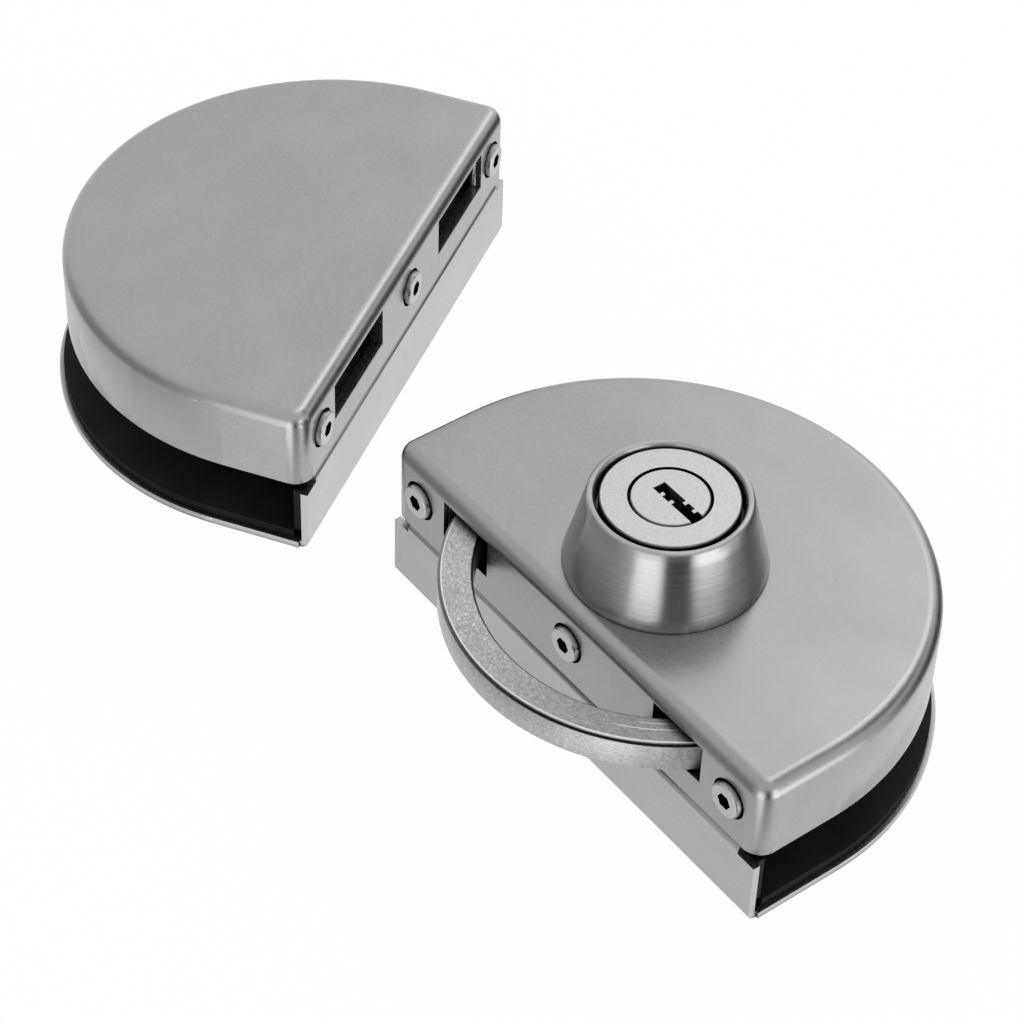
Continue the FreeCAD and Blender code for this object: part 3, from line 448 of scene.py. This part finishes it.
def black_rubber():
    """Sheet rubber: a matte calendered face with a faint dusty bloom, and painted shade in the channel."""
    shader = Shader("black_rubber").set(Specular_IOR_Level=0.15)
    grain = shader.grains(2500.0, detail=4.0, roughness=0.6)
    bloom = shader.grains(120.0, detail=3.0, roughness=0.6)
    shade = shader.times(shader.spread(grain, to=(0.007, 0.014)), shader.spread(bloom, to=(0.7, 1.4)))
    shader.colour(shader.painted_crevice_shade(shade, reach=9.0 * MM, least=0.15, free=0.9))
    shader.roughness(shader.spread(grain, to=(0.62, 0.80)))
    shader.bump(grain, strength=0.3, distance=0.06 * MM)
    return shader.material


def moulded_nylon():
    """Bolt track: black moulded nylon, with painted shade inside the case."""
    shader = Shader("moulded_nylon").set(Specular_IOR_Level=0.3)
    grain = shader.grains(1800.0, detail=3.0, roughness=0.5)
    shade = shader.spread(grain, to=(0.009, 0.014))
    shader.colour(shader.painted_crevice_shade(shade, reach=8.0 * MM, least=0.05, shut=0.35, free=0.9))
    shader.roughness(shader.spread(grain, to=(0.45, 0.6)))
    shader.bump(grain, strength=0.2, distance=0.04 * MM)
    return shader.material


# Studio. The background is white all round. Dark cards and bright strips stand before it where
# the steel mirrors them, each with its azimuth in degrees from +X towards +Y, its height as the
# sine of its elevation, half its width in degrees, half its height, and its level. Within
# FULL_SHARE of its half width and half height a patch has its whole level.

FULL_SHARE = 0.25
STUDIO_PATCHES = {
    "wall behind": (98.0, 0.70, 50.0, 0.90, 1.64),
    "strip behind": (100.0, 0.80, 24.0, 0.30, 2.40),
    "dark corner right": (80.0, -0.10, 36.0, 0.62, 0.08),
    "dark edge right": (76.0, 0.68, 30.0, 0.34, 0.13),
    "dark front": (-125.0, 0.00, 50.0, 0.82, 0.45),
    "dark middle": (-24.0, -0.15, 28.0, 0.90, 0.10),
    "floor right": (60.0, -0.75, 70.0, 0.52, 1.19),
    "strip front": (-60.0, -0.30, 21.0, 0.75, 2.60),
    "strip right, low": (12.0, -0.30, 29.0, 0.42, 3.20),
    "strip right, high": (6.0, 0.15, 22.0, 0.40, 2.75),
}

FLOOR_HALF = 3.0
FLOOR_GAP = 0.2 * MM
FLOOR_TONE = (0.80, 0.80, 0.80, 1.0)
FLOOR_LIFT = 0.97

# The lamp's azimuth is counted as a patch's is.
LAMP_AZIMUTH = math.radians(103.0)
LAMP_ELEVATION = math.radians(55.0)
LAMP_DISTANCE = 0.75
LAMP_SIZE = 0.60
LAMP_WATTS = 0.32


def look_directions(nodes):
    """The level direction of a ray as a unit vector, and the sine of its elevation."""
    place = nodes.add("ShaderNodeTexCoord").outputs["Generated"]
    split = nodes.add("ShaderNodeSeparateXYZ")
    nodes.link(place, split.inputs[0])
    flat = nodes.add("ShaderNodeVectorMath", operation="MULTIPLY")
    flat.inputs[1].default_value = (1.0, 1.0, 0.0)
    nodes.link(place, flat.inputs[0])
    heading = nodes.add("ShaderNodeVectorMath", operation="NORMALIZE")
    nodes.link(flat.outputs["Vector"], heading.inputs[0])
    return heading.outputs["Vector"], split.outputs["Z"]


def patch_share(nodes, heading, height, azimuth, middle, half_width, half_height):
    """One in the middle of a patch, and nought outside it."""
    facing = math.radians(azimuth)
    turned = nodes.add("ShaderNodeVectorMath", operation="DOT_PRODUCT")
    turned.inputs[1].default_value = (math.cos(facing), math.sin(facing), 0.0)
    nodes.link(heading, turned.inputs[0])
    rim = math.cos(math.radians(half_width))
    full = math.cos(math.radians(half_width * FULL_SHARE))
    across = nodes.spread(turned.outputs["Value"], to=(0.0, 1.0), over=(rim, full), smooth=True)
    off = nodes.maths("ABSOLUTE", nodes.maths("SUBTRACT", height, middle))
    upright = nodes.spread(off, to=(1.0, 0.0), over=(half_height * FULL_SHARE, half_height), smooth=True)
    return nodes.times(across, upright)


def make_world():
    """A white background, seen bare by the camera. The steel mirrors it with the patches before it."""
    world = bpy.data.worlds.new("studio")
    world.use_nodes = True
    world.node_tree.nodes.clear()
    nodes = Nodes(world.node_tree)
    heading, height = look_directions(nodes)
    level = WHITE
    for *where, patch_level in STUDIO_PATCHES.values():
        level = nodes.toward(level, patch_share(nodes, heading, height, *where), patch_level)
    level = nodes.toward(level, nodes.seen_bare(), WHITE)
    background = nodes.add("ShaderNodeBackground")
    out = nodes.add("ShaderNodeOutputWorld")
    nodes.link(nodes.grey(level), background.inputs["Color"])
    nodes.link(background.outputs[0], out.inputs["Surface"])
    bpy.context.scene.world = world


def floor_material():
    """Pale floor, lifted towards white where it is seen bare, with a trace of the object's shadow kept."""
    shader = Shader("floor").set(Roughness=0.9, Specular_IOR_Level=0.0, Base_Color=FLOOR_TONE)
    white = shader.add("ShaderNodeEmission")
    white.inputs["Color"].default_value = (WHITE, WHITE, WHITE, 1.0)
    white.inputs["Strength"].default_value = 1.0
    mix = shader.add("ShaderNodeMixShader")
    shader.link(shader.times(shader.seen_bare(), FLOOR_LIFT), mix.inputs[0])
    shader.link(shader.surface.outputs[0], mix.inputs[1])
    shader.link(white.outputs[0], mix.inputs[2])
    shader.link(mix.outputs[0], shader.tree.nodes["Material Output"].inputs["Surface"])
    return shader.material


def make_floor():
    """Floor just under the object. The steel mirrors the background below the horizon in its place."""
    corners = [(x * FLOOR_HALF, y * FLOOR_HALF, 0.0) for x, y in ((-1, -1), (1, -1), (1, 1), (-1, 1))]
    mesh = bpy.data.meshes.new("floor")
    mesh.from_pydata(corners, [], [(0, 1, 2, 3)])
    mesh.materials.append(floor_material())
    floor = bpy.data.objects.new("floor", mesh)
    floor.location = (0, 0, cad_box[0][2] - FLOOR_GAP)
    floor.visible_glossy = False
    bpy.context.scene.collection.objects.link(floor)


def make_lamp():
    """Soft lamp that looks at the origin, from behind the object as the camera sees it."""
    toward = Vector((
        math.cos(LAMP_AZIMUTH) * math.cos(LAMP_ELEVATION),
        math.sin(LAMP_AZIMUTH) * math.cos(LAMP_ELEVATION),
        math.sin(LAMP_ELEVATION),
    ))
    data = bpy.data.lights.new("key", "AREA")
    data.shape = "SQUARE"
    data.size = LAMP_SIZE
    data.energy = LAMP_WATTS
    lamp = bpy.data.objects.new("key", data)
    lamp.location = toward * LAMP_DISTANCE
    lamp.rotation_euler = (-toward).to_track_quat("-Z", "Y").to_euler()
    lamp.visible_camera = False
    bpy.context.scene.collection.objects.link(lamp)


# Dressing: each piece gets its material, and many get small rolled edges.

WELD_REACH = 0.002 * MM
SHEET_EDGE = 0.12 * MM
PAD_EDGE = 0.2 * MM
NO_EDGE = 0.0
EDGE_SEGMENTS = 2
EDGE_ANGLE = math.radians(40.0)
SMALL_STEEL = ("arm_stops", "pin_springs", "plug_clip")


def dress(node, material, edge):
    """Gives a node its material. Modifiers join doubled points and roll the edges by a radius."""
    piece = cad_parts[node]
    piece.data.materials.clear()
    piece.data.materials.append(material)
    weld = piece.modifiers.new("weld", "WELD")
    weld.merge_threshold = WELD_REACH
    if edge:
        bevel = piece.modifiers.new("edge", "BEVEL")
        bevel.width = edge
        bevel.segments = EDGE_SEGMENTS
        bevel.limit_method = "ANGLE"
        bevel.angle_limit = EDGE_ANGLE
        bevel.harden_normals = True


def dress_all():
    """Looks by name for some pieces, and by kind for the rest."""
    nickel = nickel_face()
    yellow = brass()
    rubber = black_rubber()
    bright = bright_steel()
    zinc = zinc_plate()
    looks = {
        # The lock's and the strike's sheets are one steel, and so are their plates. The strike's tones
        # differ from the lock's as painted light, and the plates are lighter than the covers partly as
        # painted light.
        "lock_cover": (cover_sheet("lock_sheet", 0.0, tone=0.315), SHEET_EDGE),
        "lock_back_plate": (plate_sheet("lock_plate", 0.0, tone=0.41), SHEET_EDGE),
        "strike_cover": (cover_sheet("strike_sheet", STRIKE_TURN, tone=0.34), SHEET_EDGE),
        "strike_back_plate": (plate_sheet("strike_plate", STRIKE_TURN, tone=0.43), SHEET_EDGE),
        "cylinder_collar": (turned_steel(), SHEET_EDGE),
        "cylinder_housing": (nickel, NO_EDGE),
        "cylinder_plug": (nickel, NO_EDGE),
        "key_pins": (yellow, NO_EDGE),
        "driver_pins": (yellow, NO_EDGE),
        "arc_bolt": (cast_steel(), SHEET_EDGE),
        "bolt_track": (moulded_nylon(), NO_EDGE),
    }
    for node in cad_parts:
        if node in looks:
            dress(node, *looks[node])
        elif node.endswith("pad"):
            dress(node, rubber, PAD_EDGE)
        elif "screw" in node or node in SMALL_STEEL:
            dress(node, bright, NO_EDGE)
        else:
            dress(node, zinc, SHEET_EDGE)


make_camera()
make_world()
make_floor()
make_lamp()
dress_all()

bpy.context.scene.view_settings.view_transform = "Standard"
